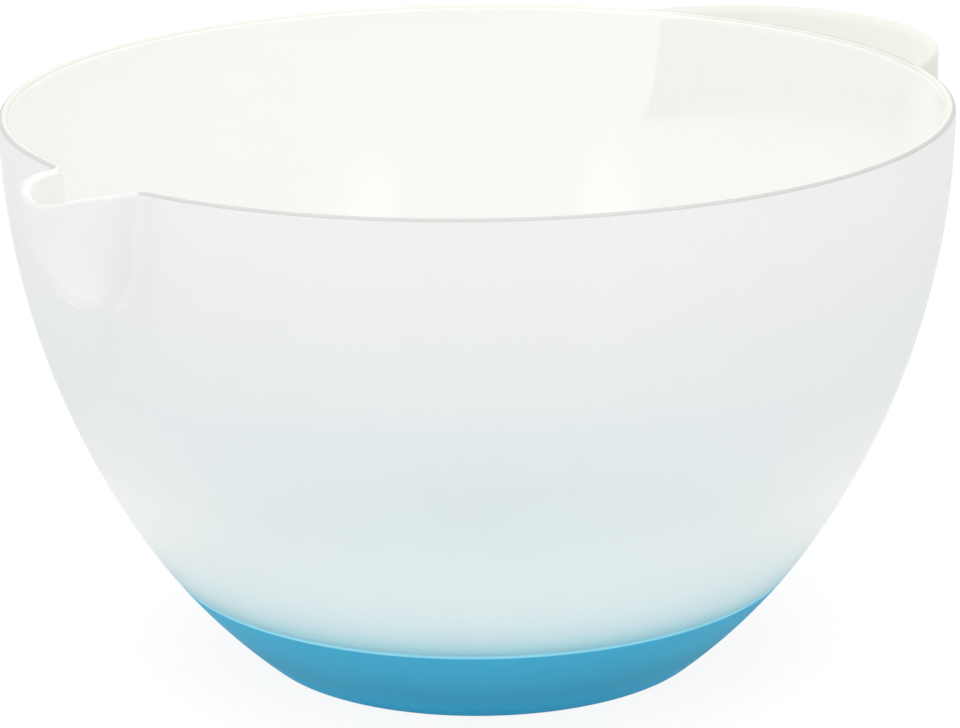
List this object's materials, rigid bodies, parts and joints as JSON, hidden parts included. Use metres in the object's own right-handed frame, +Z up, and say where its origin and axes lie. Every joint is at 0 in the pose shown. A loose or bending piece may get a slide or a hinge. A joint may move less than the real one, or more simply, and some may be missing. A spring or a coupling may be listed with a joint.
{
  "type": "batter bowl",
  "caption": "Deep round mixing bowl in frosted plastic with a pouring spout, a hollow handle opposite it and a soft non-slip base.",
  "frame": {"origin": "centre of the round flat underside, on the bowl's axis, where the bowl stands on the table", "axes": "+Z up along the bowl's axis, +X from the axis towards the handle, so the spout is at -X"},
  "size_m": [0.2599, 0.22, 0.132],
  "materials": {
    "frosted_shell": "frosted, translucent moulded plastic with a soft sheen",
    "soft_base": "smooth matte blue soft plastic"
  },
  "bodies": {
    "root": {"bowl": "frosted_shell", "base": "soft_base"}
  },
  "joints": []
}
